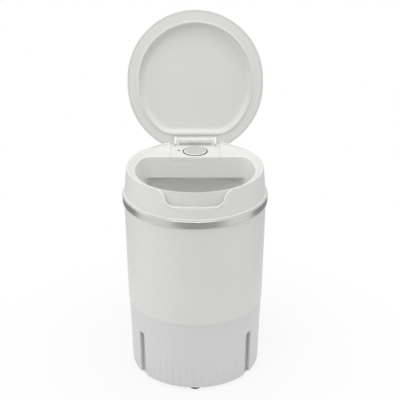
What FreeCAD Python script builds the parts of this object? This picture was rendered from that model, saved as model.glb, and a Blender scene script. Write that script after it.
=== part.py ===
import FreeCAD, Part
import math
import os

# A round bucket washing machine for small loads, built as the pieces it comes apart into.
# Millimetres, +Z up. The origin is on the floor, on the axis of the tub, and the front is -Y.
# The lid stands open at rest, leaning back as far as its hinge lets it.

# Feet and base
foot_height = 5.0
foot_radius = 9.0
foot_stud_radius = 4.0
foot_edge = 0.6
foot_count = 4
foot_round = 1.0
base_height = 119.5
base_step = 1.2
base_taper = 3.4
base_wall = 3.0
base_edge_round = 3.0
base_plate_thickness = 3.0
base_plate_gap = 0.3
base_boss_radius = 4.5
base_boss_count = 4
base_boss_start = 20.0
base_boss_height = 14.0
spigot_height = 8.0

# Slots and flutes of the base, and the trays behind the slots
slot_angle = 53.7
slot_width_top = 12.0
slot_width_bottom = 16.0
slot_height = 80.0
flute_count = 58
flute_radius = 7.0
flute_depth = 0.9
flute_height = 76.0
flute_slot_margin = 7.0
guard_wall = 1.6
guard_margin = 1.0
guard_depth = 3.0

# Outer shell, trim ring and wash tub
body_height = 169.5
body_top_radius = 112.3
body_taper = 2.9
shell_wall = 2.8
shell_shelf = 3.0
ring_height = 12.3
ring_proud = 2.7
ring_round = 1.0
tub_skirt_gap = 1.0
tub_draft = 3.5
tub_wall = 2.5
tub_floor_height = 138.0
tub_corner = 16.0
tub_flange = 2.6
tub_flange_gap = 0.2
tub_post_inset = 28.0
tub_post_radius = 5.5
tub_post_count = 3
splash_seal_height = 3.0
splash_seal_rise = 1.85

# Collar with its finger recess, deck and hinge seat
collar_height = 44.0
collar_setback = 0.9
collar_taper = 3.6
collar_wall = 3.0
collar_bead_proud = 2.4
collar_bead_height = 2.8
collar_bead_round = 1.2
rim_width = 2.6
rim_outer_round = 1.4
rim_inner_round = 2.0
ledge_depth = 6.5
ledge_width = 3.0
ledge_round = 8.0
collar_shoulder = 13.8
opening_round = 1.4
skirt_wall = 2.5
skirt_dip = 7.85
deck_corner = 16.0
deck_thickness = 5.0
pocket_depth = 36.0
recess_height = 24.5
recess_bottom_half = 41.0
recess_top_half = 46.0
recess_corner = 12.0
recess_flare = 10.0
recess_sink = 0.9
recess_slope = 3.3
recess_wall = 2.4
recess_edge_width = 1.6
recess_edge_depth = 1.0
boss_depth = 9.0
boss_drop = 34.0
boss_slant = 8.0
boss_corner = 7.0
boss_wall = 1.8

# Lid and hinge
lid_overhang = 3.6
lid_shift = 1.3
lid_stretch = 10.5
lid_tail = 7.0
lid_height = 17.0
lid_wall = 2.4
lid_edge_round = 7.0
lid_gap = 0.6
lid_corner = 14.0
liner_gap = 0.25
liner_wall = 2.4
lip_spread = 1.2
lip_shift = 2.8
lip_stretch = 8.5
lip_wall = 2.8
lip_height = 2.2
lip_gap = 0.8
lip_round = 1.1
lip_rear_margin = 1.0
lip_corner = 40.0
dish_clearance = 1.2
dish_round = 9.0
hinge_inset = 4.8
hinge_rise = 1.5
hinge_open_angle = 107.0
knuckle_radius = 5.5
knuckle_half_width = 25.5
knuckle_gap = 0.4
notch_gap = 0.3
rim_cut_margin = 7.5
leaf_thickness = 3.0
leaf_height = 13.0
leaf_screw_length = 6.0
leaf_screw_spacing = 18.0
pin_radius = 2.0
pin_clearance = 0.05
ear_width = 6.0
bracket_thickness = 2.1

# Control panel on the deck
panel_half_width = 39.5
panel_thickness = 2.5
panel_front_margin = 4.15
panel_rear_margin = 2.15
panel_hinge_gap = 0.5
panel_lip = 7.0
panel_gap = 0.25
panel_ledge = 4.0
panel_clip_wall = 1.6
panel_clip_hook = 1.0
panel_clip_half_width = 6.0
button_radius = 18.5
button_rise = 1.6
button_round = 1.2
button_travel = 1.2
button_flange = 1.4
button_gap = 0.35
button_stem_radius = 3.0
bezel_wall = 1.5
bezel_rise = 0.6
lens_radius = 2.2
lens_rise = 0.5
lens_offset = 27.0
lens_back = 3.5
lamp_radius = 1.6
lamp_height = 2.5
board_drop = 13.0
board_thickness = 1.6
board_half_width = 31.0
board_half_depth = 13.5
board_post_radius = 2.6
board_post_inset = 4.0
switch_side = 6.0
switch_height = 4.0
switch_body_height = 3.0

# Drive: pulsator, shaft, gear pair and motor
hub_radius = 15.0
hub_rise = 4.0
hub_depth = 27.0
bearing_radius = 11.0
bearing_width = 7.0
bearing_inset = 1.0
shaft_radius = 4.0
shaft_clearance = 0.03
shaft_seal_width = 4.0
pulsator_margin = 18.0
pulsator_gap = 1.5
pulsator_plate = 4.0
pulsator_round = 1.8
pulsator_dome_radius = 24.0
pulsator_dome_height = 20.0
pulsator_shaft_share = 0.6
pulsator_fin_count = 4
pulsator_fin_start = 45.0
pulsator_fin_height = 13.0
pulsator_fin_width = 9.0
pulsator_fin_round = 3.0
pulsator_cap_radius = 9.0
pulsator_cap_height = 3.0
pulsator_screw_length = 12.0
gear_module = 1.5
gear_pressure_angle = 20.0
wheel_teeth = 42
pinion_teeth = 14
gear_width = 10.0
gear_backlash = 0.35
gear_dedendum = 1.1
gear_addendum = 0.8
gear_flank_steps = 4
gear_drop = 8.0
gear_plate_gap = 4.0
clip_thickness = 1.0
clip_width = 2.5
motor_radius = 21.0
motor_length = 58.0
motor_shaft_radius = 2.5
motor_shaft_seat = 14.0
motor_shaft_float = 1.0
motor_boss_radius = 8.0
motor_screw_inset = 7.0
drive_plate_thickness = 3.0
drive_plate_margin = 8.0

# Fasteners, supply socket, driver board and wiring
screw_radius = 1.5
screw_head_radius = 3.0
screw_head_height = 2.0
screw_length = 9.0
screw_fit = 0.02
socket_radius = 5.5
socket_flange_radius = 7.5
socket_flange_height = 1.6
socket_bore = 2.9
socket_bore_floor = 3.0
socket_pin_radius = 1.0
socket_height = 24.0
socket_sink = 1.5
socket_nut_height = 3.0
socket_length = 19.7
driver_half_width = 24.0
driver_height = 32.0
driver_thickness = 1.6
heat_sink_start = 8.0
heat_sink_width = 11.2
heat_sink_depth = 4.8
heat_sink_height = 16.0
driver_rail = 2.0
driver_rail_height = 8.0
plug_width = 10.0
plug_height = 8.0
plug_depth = 4.8
cable_radius = 1.6
cable_bend = 8.5
cable_stand_off = 1.6
cable_turn_drop = 12.5
cable_way = 0.6
motor_lead_start = 14.0
motor_lead_offset = 6.0
press = 0.02
round_limit = 0.9
cut_over = 1.0

# Radii that follow from the sizes above
body_bottom_radius = body_top_radius - body_taper
base_top_radius = body_bottom_radius - base_step
base_bottom_radius = base_top_radius - base_taper
ring_radius = body_top_radius + ring_proud
collar_foot_radius = body_top_radius - collar_setback
collar_top_radius = collar_foot_radius - collar_taper
collar_bead_radius = collar_foot_radius + collar_bead_proud
opening_radius = collar_top_radius - collar_shoulder
skirt_outer = opening_radius + skirt_wall
opening_edge = opening_radius + skirt_wall / 2
tub_radius = skirt_outer + tub_skirt_gap
tub_bottom_radius = tub_radius - tub_draft
tub_post_circle = tub_bottom_radius - tub_post_inset
pulsator_radius = tub_bottom_radius - pulsator_margin
recess_back_top = collar_top_radius - recess_sink
lid_radius = collar_top_radius + lid_overhang
lip_radius = opening_radius + lip_spread
bezel_inner = button_radius + button_gap
bezel_outer = bezel_inner + bezel_wall
motor_screw_circle = motor_radius - motor_screw_inset

# Heights and places that follow from the sizes above
z_plate = foot_height + base_plate_thickness
z_step = foot_height + base_height
z_ring = z_step + body_height
z_collar = z_ring + ring_height
z_seat = z_ring + ring_height / 2
z_rim = z_collar + collar_height
z_deck = z_rim - ledge_depth
z_skirt = z_seat - skirt_dip
z_pocket = z_deck - pocket_depth
z_lid = z_rim + lid_gap
z_hinge = z_rim + hinge_rise
z_board = z_deck - board_drop
z_tub_under = tub_floor_height - tub_wall
z_hub = tub_floor_height + hub_rise
z_hub_under = z_tub_under - hub_depth
z_pulsator = z_hub + pulsator_gap
z_shaft_top = z_pulsator + pulsator_shaft_share * pulsator_dome_height
z_wheel = z_hub_under - gear_drop - gear_width
z_drive_plate = z_wheel - gear_plate_gap - drive_plate_thickness
hinge_reach = collar_top_radius - hinge_inset
boss_reach = hinge_reach + boss_depth
panel_depth = panel_front_margin + 2 * bezel_outer + panel_rear_margin
deck_front = hinge_reach - knuckle_radius - panel_hinge_gap - panel_depth
button_centre = deck_front + panel_front_margin + bezel_outer
lens_centre = button_centre + lens_back
lid_rear = hinge_reach + lid_tail
dish_depth = lid_height - lid_wall - liner_wall - dish_clearance
notch_half_width = knuckle_half_width + 2 * knuckle_gap + ear_width + lid_wall
boss_half_width = notch_half_width - lid_gap
rim_cut_half = notch_half_width + rim_cut_margin
notch_face = hinge_reach - knuckle_radius - notch_gap
lip_rear = notch_face - lid_wall - liner_gap - lip_rear_margin
gear_distance = gear_module * (wheel_teeth + pinion_teeth) / 2
plate_radius = base_bottom_radius - base_wall - base_plate_gap
boss_circle = base_bottom_radius - base_wall - base_boss_radius
spigot_radius = body_bottom_radius - shell_wall - press
socket_seat = base_bottom_radius - base_wall - socket_sink
driver_place = socket_seat - socket_length - driver_thickness
plug_face = driver_place + driver_thickness + plug_depth / 2
z_driver_plug = z_plate + driver_rail + driver_height
z_cable = z_board - plug_height / 2
cable_place = tub_radius + tub_wall + cable_stand_off + cable_radius
cable_turn_height = z_step - cable_turn_drop

left_right = (-1, 1)
up = FreeCAD.Vector(0, 0, 1)
back = FreeCAD.Vector(0, 1, 0)
right = FreeCAD.Vector(1, 0, 0)
origin = FreeCAD.Vector(0, 0, 0)

os.makedirs("parts", exist_ok=True)


def vec(x, y, z=0.0):
    return FreeCAD.Vector(x, y, z)


def save(name, *solids):
    shape = solids[0] if len(solids) == 1 else Part.makeCompound(list(solids))
    shape.exportStep("parts/" + name + ".step")


def box(x0, x1, y0, y1, z0, z1):
    return Part.makeBox(x1 - x0, y1 - y0, z1 - z0, vec(x0, y0, z0))


def rod(radius, z0, z1, x=0.0, y=0.0):
    return Part.makeCylinder(radius, z1 - z0, vec(x, y, z0))


def tube(outer, inner, z0, z1, x=0.0, y=0.0):
    return rod(outer, z0, z1, x, y).cut(rod(inner, z0, z1, x, y))


def bar(radius, start, direction, length):
    return Part.makeCylinder(radius, length, start, direction)


def joined(shapes):
    return shapes[0].fuse(shapes[1:]).removeSplitter()


def polar(radius, degrees):
    return radius * math.cos(math.radians(degrees)), radius * math.sin(math.radians(degrees))


def around(count, start=0.0):
    return [start + 360.0 * i / count for i in range(count)]


def spun(shape, degrees):
    copy = shape.copy()
    copy.rotate(origin, up, degrees)
    return copy


def outline(points, place):
    """A closed face from corners (a, b) or (a, b, radius), rounded by arcs no longer than their sides."""
    flat = [(FreeCAD.Vector(p[0], p[1], 0), p[2] if len(p) > 2 else 0.0) for p in points]
    stops = []
    for i, (corner, radius) in enumerate(flat):
        if radius <= 0:
            stops.append((corner, None, corner))
            continue
        before = flat[i - 1][0] - corner
        after = flat[(i + 1) % len(flat)][0] - corner
        half = before.getAngle(after) / 2
        reach = min(radius / math.tan(half), before.Length, after.Length)
        radius = reach * math.tan(half)
        before.normalize()
        after.normalize()
        middle = corner + (before + after).normalize() * (radius / math.sin(half) - radius)
        stops.append((corner + before * reach, middle, corner + after * reach))
    edges = []
    for i, (start, middle, end) in enumerate(stops):
        if middle is not None:
            edges.append(Part.Arc(place(start), place(middle), place(end)).toShape())
        following = stops[(i + 1) % len(stops)][0]
        if (following - end).Length > 1e-6:
            edges.append(Part.LineSegment(place(end), place(following)).toShape())
    return Part.Face(Part.Wire(edges))


def turned(points):
    """A solid of revolution about the Z axis from (radius, height) corners."""
    return outline(points, lambda p: vec(p.x, 0, p.y)).revolve(origin, up, 360)


def d_corner(radius, chord, corner, stretch):
    """The centre of a rounded rear corner of a straight-cut disc, and where it meets the disc's edge."""
    centre_y = chord - corner
    centre_x = math.sqrt((radius - corner) ** 2 - (centre_y - stretch) ** 2)
    grow = radius / (radius - corner)
    return centre_x, centre_y, centre_x * grow, stretch + (centre_y - stretch) * grow


def d_prism(radius, chord, corner, stretch, z0, z1):
    """A disc cut straight at the back, with rounded corners, drawn out towards the back by a stretch."""
    centre_x, centre_y, tip_x, tip_y = d_corner(radius, chord, corner, stretch)
    turn = math.atan2(1 + (tip_y - centre_y) / corner, (tip_x - centre_x) / corner)
    side_x, side_y = centre_x + corner * math.cos(turn), centre_y + corner * math.sin(turn)
    rear_turn = math.atan2(tip_y - stretch, tip_x) / 2
    far_x, far_y = radius * math.cos(rear_turn), stretch + radius * math.sin(rear_turn)
    edges = [Part.LineSegment(vec(-centre_x, chord), vec(centre_x, chord)).toShape()]
    edges.append(Part.Arc(vec(centre_x, chord), vec(side_x, side_y), vec(tip_x, tip_y)).toShape())
    edges.append(Part.Arc(vec(tip_x, tip_y), vec(far_x, far_y), vec(radius, stretch)).toShape())
    if stretch > 0:
        edges.append(Part.LineSegment(vec(radius, stretch), vec(radius, 0)).toShape())
    edges.append(Part.Arc(vec(radius, 0), vec(0, -radius), vec(-radius, 0)).toShape())
    if stretch > 0:
        edges.append(Part.LineSegment(vec(-radius, 0), vec(-radius, stretch)).toShape())
    edges.append(Part.Arc(vec(-radius, stretch), vec(-far_x, far_y), vec(-tip_x, tip_y)).toShape())
    edges.append(Part.Arc(vec(-tip_x, tip_y), vec(-side_x, side_y), vec(-centre_x, chord)).toShape())
    prism = Part.Face(Part.Wire(edges)).extrude(vec(0, 0, z1 - z0))
    prism.translate(vec(0, 0, z0))
    return prism


def level_edges(shape, z):
    return [e for e in shape.Edges if abs(e.BoundBox.ZMin - z) < 1e-4 and abs(e.BoundBox.ZMax - z) < 1e-4]


def screw(place, axis, length=screw_length):
    """A pan-head screw whose head sits on the given place, with its shank along the axis."""
    head = bar(screw_head_radius, place, axis * -1, screw_head_height)
    return head.fuse(bar(screw_radius, place, axis, length)).removeSplitter()


def screw_hole(place, axis, length=screw_length):
    return bar(screw_radius + screw_fit, place, axis, length + 2 * screw_fit)


def opened(shape):
    """Swings a lid piece from its closed place up to where the lid stands open."""
    copy = shape.copy()
    copy.rotate(vec(0, hinge_reach, z_hinge), right, -hinge_open_angle)
    return copy


# Base housing: a tapered skirt with four slots, a band of flutes and a spigot for the shell above it
def base_radius(z):
    return base_bottom_radius + (base_top_radius - base_bottom_radius) * (z - foot_height) / base_height


def boss_places():
    return [vec(*polar(boss_circle, a), z_plate) for a in around(base_boss_count, base_boss_start)]


def slot_angles():
    return [-90 - slot_angle, -90 + slot_angle, 90 - slot_angle, 90 + slot_angle]


def slot_cutter(degrees):
    half_top, half_bottom = slot_width_top / 2, slot_width_bottom / 2
    z_top = foot_height + slot_height
    corners = [(-half_bottom, foot_height - cut_over), (half_bottom, foot_height - cut_over),
               (half_top, z_top, half_top / 2), (-half_top, z_top, half_top / 2)]
    reach = base_bottom_radius - 2 * base_wall
    face = outline(corners, lambda p: vec(reach, p.x, p.y))
    return spun(face.extrude(vec(base_top_radius, 0, 0)), degrees)


def flute_cutter(degrees):
    """A leaning rod that is deepest at the bottom edge of the skirt and runs out at its top."""
    z_top = foot_height + flute_height
    low = vec(base_radius(foot_height) + flute_radius - flute_depth, 0, foot_height)
    high = vec(base_radius(z_top) + flute_radius, 0, z_top)
    lean = (high - low) * (1 / flute_height)
    length = flute_height + 2 * base_wall
    return spun(bar(flute_radius, low - lean * base_wall, lean, length), degrees)


def flutes():
    cutters = []
    for degrees in around(flute_count, -90):
        apart = [abs((degrees - s + 180) % 360 - 180) for s in slot_angles()]
        if min(apart) > flute_slot_margin:
            cutters.append(flute_cutter(degrees))
    return cutters


def base_housing():
    skirt = turned([
        (base_bottom_radius - base_wall, foot_height),
        (base_bottom_radius, foot_height, min(base_edge_round, round_limit * base_wall)),
        (base_top_radius, z_step),
        (spigot_radius, z_step),
        (spigot_radius, z_step + spigot_height),
        (spigot_radius - base_wall, z_step + spigot_height),
        (spigot_radius - base_wall, z_step - base_wall),
        (base_radius(z_step - base_wall) - base_wall, z_step - base_wall),
    ])
    skirt = skirt.cut(flutes())
    bosses = []
    for place in boss_places():
        bosses.append(rod(base_boss_radius, z_plate, z_plate + base_boss_height, place.x, place.y))
    half = base_boss_radius / 3
    skin = base_bottom_radius - base_wall / 2
    web = box(boss_circle, skin, -half, half, z_plate, z_plate + base_boss_height)
    webs = [spun(web, a) for a in around(base_boss_count, base_boss_start)]
    pad = socket_flange_radius + base_wall
    seat = box(-pad, pad, socket_seat - base_wall, skin, socket_height - pad, socket_height + pad)
    housing = joined([skirt, seat] + bosses + webs)
    cuts = [slot_cutter(a) for a in slot_angles()]
    cuts += [screw_hole(place, up) for place in boss_places()]
    behind = vec(0, socket_seat - 2 * base_wall, socket_height)
    cuts.append(bar(socket_radius + press, behind, back, 4 * base_wall))
    front = vec(0, socket_seat, socket_height)
    cuts.append(bar(socket_flange_radius + panel_gap, front, back, 4 * base_wall))
    z_way = z_step + 2 * spigot_height
    cuts.append(rod(cable_radius + cable_way, z_step - 2 * base_wall, z_way, 0, cable_place))
    return housing.cut(cuts)


def vent_guard():
    """Four upright trays, one behind each slot, that keep fingers and splashes out of the base."""
    half = slot_width_bottom / 2 + guard_margin
    z_top = foot_height + slot_height + guard_margin + guard_wall
    floor = base_bottom_radius - base_wall - guard_depth
    inside = Part.makeCone(base_radius(z_plate) - base_wall - press, base_radius(z_top) - base_wall - press,
                           z_top - z_plate, vec(0, 0, z_plate))
    tray = box(floor - guard_wall, base_top_radius, -half - guard_wall, half + guard_wall, z_plate, z_top)
    tray = tray.common(inside).cut(box(floor, base_top_radius, -half, half, z_plate, z_top - guard_wall))
    return [spun(tray, a) for a in slot_angles()]


# Base plate with its four rubber feet and four screws
def foot_places():
    return [polar(plate_radius - foot_radius - foot_edge, a) for a in around(foot_count, -90)]


def base_plate():
    plate = rod(plate_radius, foot_height, z_plate)
    near, far = driver_place, driver_place + driver_thickness
    rails = []
    for side in left_right:
        x = side * driver_half_width
        rails.append(box(x - 2 * driver_rail, x + 2 * driver_rail, near - driver_rail, far + driver_rail,
                         z_plate, z_plate + driver_rail_height))
    plate = joined([plate] + rails)
    half = driver_half_width + press
    cuts = [box(-half, half, near - press, far + press, z_plate + driver_rail, z_plate + driver_height)]
    for place in boss_places():
        cuts.append(rod(screw_radius + screw_fit, foot_height, z_plate, place.x, place.y))
    for x, y in foot_places():
        cuts.append(rod(foot_stud_radius, foot_height, z_plate, x, y))
    return plate.cut(cuts)


def base_screws():
    length = base_plate_thickness + screw_length
    return [screw(vec(p.x, p.y, foot_height), up, length - 2 * screw_fit) for p in boss_places()]


def feet():
    pads = []
    for x, y in foot_places():
        pad = rod(foot_radius, 0, foot_height, x, y)
        pad = pad.makeFillet(foot_round, level_edges(pad, 0))
        pads.append(pad.fuse(rod(foot_stud_radius - press, foot_height, z_plate, x, y)).removeSplitter())
    return pads


# Supply socket in the back of the base, with its nut, and the motor's driver board behind it
def power_inlet():
    front = vec(0, socket_seat, socket_height)
    depth = socket_length - socket_bore_floor
    flange = bar(socket_flange_radius, front, back, socket_flange_height)
    barrel = bar(socket_radius, front - back * socket_length, back, socket_length)
    bore = bar(socket_bore, front - back * depth, back, socket_length + socket_flange_height)
    pin = bar(socket_pin_radius, front - back * depth, back, depth)
    return flange.fuse(barrel).cut(bore).fuse(pin).removeSplitter()


def inlet_nut():
    face = vec(0, socket_seat - base_wall, socket_height)
    ring = bar(socket_flange_radius, face, back * -1, socket_nut_height)
    return ring.cut(bar(socket_radius + press, face, back * -1, socket_nut_height))


def driver_board():
    z0 = z_plate + driver_rail
    z1 = z0 + driver_height
    y1 = driver_place + driver_thickness
    board = box(-driver_half_width, driver_half_width, driver_place, y1, z0, z1)
    half = plug_width / 2
    plug = box(-half, half, y1, y1 + plug_depth, z_driver_plug - plug_height, z_driver_plug)
    heat_sink = box(heat_sink_start, heat_sink_start + heat_sink_width, driver_place - heat_sink_depth,
                    driver_place, z1 - heat_sink_height, z1)
    return joined([board, plug, heat_sink])


# Outer shell and the metal trim ring around its top
def shell_radius(z):
    return body_bottom_radius + (body_top_radius - body_bottom_radius) * (z - z_step) / body_height


def outer_shell():
    z_shelf = z_seat - tub_flange
    shelf = body_top_radius - shell_wall - shell_shelf
    return turned([
        (body_bottom_radius, z_step),
        (body_top_radius, z_ring),
        (body_top_radius, z_seat),
        (body_top_radius - shell_wall, z_seat),
        (body_top_radius - shell_wall, z_shelf),
        (shelf, z_shelf),
        (shelf, z_shelf - shell_shelf),
        (shell_radius(z_shelf - 2 * shell_shelf) - shell_wall, z_shelf - 2 * shell_shelf),
        (body_bottom_radius - shell_wall, z_step),
    ])


def trim_ring():
    inner = body_top_radius + press
    return turned([
        (inner, z_ring),
        (ring_radius, z_ring, ring_round),
        (ring_radius, z_collar, ring_round),
        (inner, z_collar),
    ])


# Wash tub, hung by its flange on the shelf of the shell, with the hub and posts that carry the drive
def tub_inner(z):
    share = (z - tub_floor_height) / (z_seat - tub_floor_height)
    return tub_bottom_radius + (tub_radius - tub_bottom_radius) * share


def post_places():
    return [polar(tub_post_circle, a) for a in around(tub_post_count)]


def wash_tub():
    flange = body_top_radius - shell_wall - tub_flange_gap
    bowl = turned([
        (bearing_radius, z_hub_under),
        (hub_radius, z_hub_under),
        (hub_radius, z_tub_under),
        (tub_bottom_radius + tub_wall, z_tub_under, tub_corner + tub_wall),
        (tub_inner(z_seat - tub_flange) + tub_wall, z_seat - tub_flange),
        (flange, z_seat - tub_flange),
        (flange, z_seat),
        (tub_radius, z_seat),
        (tub_bottom_radius, tub_floor_height, tub_corner),
        (hub_radius, tub_floor_height),
        (hub_radius, z_hub),
        (bearing_radius, z_hub),
    ])
    z_post = z_drive_plate + drive_plate_thickness
    posts = [rod(tub_post_radius, z_post, z_tub_under, x, y) for x, y in post_places()]
    tub = joined([bowl] + posts)
    cuts = [screw_hole(vec(x, y, z_post), up) for x, y in post_places()]
    cuts.append(rod(cable_radius + cable_way, z_seat - 2 * tub_flange, z_seat + tub_flange, 0, cable_place))
    return tub.cut(cuts)


def splash_seal():
    z0 = z_skirt + splash_seal_rise
    z1 = z0 + splash_seal_height
    return tube(tub_inner(z0) - press, skirt_outer + press, z0, z1)


# Collar: the moulding around the opening, with the finger recess in front and the deck at the back
def collar_radius(z):
    z_foot = z_collar + collar_bead_height
    return collar_foot_radius + (collar_top_radius - collar_foot_radius) * (z - z_foot) / (z_rim - z_foot)


def collar_section():
    tongue = body_top_radius - press
    z_foot = z_collar + collar_bead_height
    z_under = z_deck - deck_thickness
    return turned([
        (tongue - collar_wall, z_seat),
        (tongue, z_seat),
        (tongue, z_collar),
        (collar_bead_radius, z_collar),
        (collar_bead_radius, z_foot, collar_bead_round),
        (collar_foot_radius, z_foot),
        (collar_top_radius, z_rim, rim_outer_round),
        (collar_top_radius - rim_width, z_rim, rim_inner_round),
        (opening_radius + ledge_width, z_deck, ledge_round),
        (opening_radius, z_deck),
        (opening_radius, z_skirt),
        (skirt_outer, z_skirt),
        (skirt_outer, z_under),
        (collar_radius(z_under) - collar_wall, z_under),
        (tongue - collar_wall, z_collar),
    ])


def control_pocket():
    """The walls, floor and roof of the pocket that the deck makes behind the straight edge of the opening."""
    opening = d_prism(opening_radius, deck_front, deck_corner, 0, z_pocket - cut_over, z_deck + cut_over)
    inside = d_prism(opening_radius + skirt_wall, deck_front + skirt_wall, deck_corner + skirt_wall, 0,
                     z_pocket, z_deck)
    block = rod(skirt_outer, z_pocket, z_deck).cut(opening)
    hollow = rod(opening_radius, z_pocket + skirt_wall, z_deck - deck_thickness).cut(inside)
    return block.cut(hollow)


def panel_cuts():
    half = panel_half_width + panel_gap
    rear = deck_front + panel_depth + panel_gap
    way = panel_half_width - panel_ledge
    z_top = z_deck + ledge_depth / 2
    rebate = box(-half, half, 0, rear, z_deck - panel_thickness, z_top)
    lip = box(-half, half, 0, deck_front + panel_thickness, z_deck - panel_lip - panel_gap, z_top)
    through = box(-way, way, 0, rear - panel_ledge / 2, z_deck - deck_thickness - cut_over, z_top)
    behind = box(-2 * half, 2 * half, deck_front, 2 * rear, z_pocket, z_top)
    outside = rod(opening_radius, z_pocket, z_top).cut(behind)
    return [rebate.cut(outside), lip.cut(outside), through.cut(outside)]


def recess_prism(grow, y0, y1):
    """The finger recess seen from the front: round at its lower corners, flared where it meets the rim."""
    z_low = z_rim - recess_height - grow
    top = recess_top_half + grow
    low = recess_bottom_half + grow
    z_flare = z_rim + recess_flare
    z_bend = z_rim - recess_flare / 2
    wide = top + recess_flare
    corners = [(-low, z_low, recess_corner), (low, z_low, recess_corner), (top, z_bend, recess_flare),
               (wide, z_rim), (wide, z_flare), (-wide, z_flare), (-wide, z_rim), (-top, z_bend, recess_flare)]
    return outline(corners, lambda p: vec(p.x, y0, p.y)).extrude(vec(0, y1 - y0, 0))


def recess_core(shrink):
    slope = recess_slope / recess_height
    rise = recess_flare + cut_over
    drop = recess_height + collar_wall
    low = recess_back_top - slope * drop - shrink
    high = recess_back_top + slope * rise - shrink
    return Part.makeCone(low, high, drop + rise, vec(0, 0, z_rim - drop))


def recess_edge():
    """A shallow rebate that frames the finger recess in the outside of the collar."""
    z0, z1 = z_collar + collar_bead_height, z_rim + 2 * recess_flare
    low, high = collar_radius(z0) - recess_edge_depth, collar_radius(z1) - recess_edge_depth
    core = Part.makeCone(low, high, z1 - z0, vec(0, 0, z0))
    return recess_prism(recess_edge_width, -2 * base_bottom_radius, 0).cut(core)


def hinge_boss(shrink):
    half = boss_half_width - shrink
    reach = boss_reach - shrink
    z_low = z_rim - boss_drop + shrink
    z_top = z_rim if shrink == 0 else z_deck - deck_thickness
    corners = [(deck_front, z_low), (reach - boss_slant, z_low), (reach, z_low + boss_slant), (reach, z_top),
               (deck_front, z_top)]
    block = outline(corners, lambda p: vec(-half, p.x, p.y)).extrude(vec(2 * half, 0, 0))
    rear = [e for e in block.Edges if e.BoundBox.YMin > reach - 1e-4 and e.BoundBox.XLength < 1e-4]
    return block.makeFillet(boss_corner - shrink, rear)


def collar():
    ring = joined([collar_section(), control_pocket()])
    mouth = [e for e in level_edges(ring, z_deck) if math.hypot(*e.Vertexes[0].Point[:2]) < opening_edge]
    ring = ring.makeFillet(opening_round, mouth)
    reach = 2 * base_bottom_radius
    backing = recess_prism(recess_wall, -reach, 0).cut(recess_core(recess_wall))
    inside_wall = Part.makeCone(collar_foot_radius - collar_wall / 2, collar_top_radius - collar_wall / 2,
                                z_rim - z_collar - collar_wall, vec(0, 0, z_collar))
    backing = backing.common(inside_wall)
    boss = hinge_boss(0).cut(rod(collar_top_radius - collar_wall, 0, 2 * z_rim))
    half = boss_half_width - boss_wall
    slab = box(-half, half, button_centre, boss_reach - boss_wall, z_deck - deck_thickness, z_deck)
    slab = slab.cut(rod(opening_edge, 0, 2 * z_rim))
    body = joined([ring, backing, boss, slab])
    cuts = [recess_prism(0, -reach, 0).cut(recess_core(0)), recess_edge()]
    cuts.append(hinge_boss(boss_wall).cut(rod(skirt_outer, 0, 2 * z_rim)))
    cuts.append(box(-rim_cut_half, rim_cut_half, button_centre, 2 * boss_reach, z_deck, 2 * z_rim))
    cuts.append(lip_prism(-lip_gap, z_lid - lip_height - lip_gap, 2 * z_rim))
    cuts += panel_cuts()
    cuts += [screw_hole(place, up) for place in bracket_screw_places()]
    way = cable_place - button_centre
    cuts.append(bar(cable_radius + cable_way, vec(0, button_centre, z_cable), back, way))
    return body.cut(cuts)


# Hinge: a bracket with two ears on the collar, a pin, and a leaf with a knuckle on the lid
def ear_middle():
    return knuckle_half_width + knuckle_gap + ear_width / 2


def bracket_screw_places():
    return [vec(s * ear_middle(), hinge_reach, z_deck - deck_thickness) for s in left_right]


def hinge_bracket():
    half = ear_middle() + ear_width / 2
    near, far = hinge_reach - knuckle_radius, hinge_reach + knuckle_radius
    pieces = [box(-half, half, near, far, z_deck, z_deck + bracket_thickness)]
    for side in left_right:
        x0 = side * ear_middle() - ear_width / 2
        eye = bar(knuckle_radius, vec(x0, hinge_reach, z_hinge), right, ear_width)
        pieces += [eye, box(x0, x0 + ear_width, near, far, z_deck, z_hinge)]
    cuts = [bar(pin_radius + press, vec(-half, hinge_reach, z_hinge), right, 2 * half)]
    cuts += [screw_hole(place, up) for place in bracket_screw_places()]
    return joined(pieces).cut(cuts)


def bracket_screws():
    return [screw(place, up) for place in bracket_screw_places()]


def hinge_pin():
    half = ear_middle() + ear_width / 2
    return bar(pin_radius, vec(-half, hinge_reach, z_hinge), right, 2 * half)


def leaf_screw_places():
    z = z_lid + leaf_height - screw_head_radius
    return [vec(i * leaf_screw_spacing, notch_face + leaf_thickness, z) for i in (-1, 0, 1)]


def lid_hinge():
    half = knuckle_half_width
    z0 = z_lid + lid_gap
    plate = box(-half, half, notch_face, notch_face + leaf_thickness, z0, z0 + leaf_height)
    knuckle = bar(knuckle_radius, vec(-half, hinge_reach, z_hinge), right, 2 * half)
    leaf = joined([plate, knuckle])
    cuts = [bar(pin_radius + pin_clearance, vec(-half, hinge_reach, z_hinge), right, 2 * half)]
    cuts += [screw_hole(place, back * -1, leaf_screw_length) for place in leaf_screw_places()]
    return leaf.cut(cuts)


def lid_hinge_screws():
    return [screw(place, back * -1, leaf_screw_length) for place in leaf_screw_places()]


# Lid: an outer cover and an inner dished liner with a raised lip
def hinge_notch(grow):
    half = notch_half_width + grow
    z0, z1 = z_lid - 2 * lip_height, z_lid + 2 * lid_height
    return box(-half, half, notch_face - grow, 2 * hinge_reach, z0, z1)


def lid_prism(inset, z0, z1):
    prism = d_prism(lid_radius - inset, lid_rear - lid_shift - inset, lid_corner - inset, lid_stretch, z0, z1)
    prism.translate(vec(0, lid_shift))
    return prism


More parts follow.
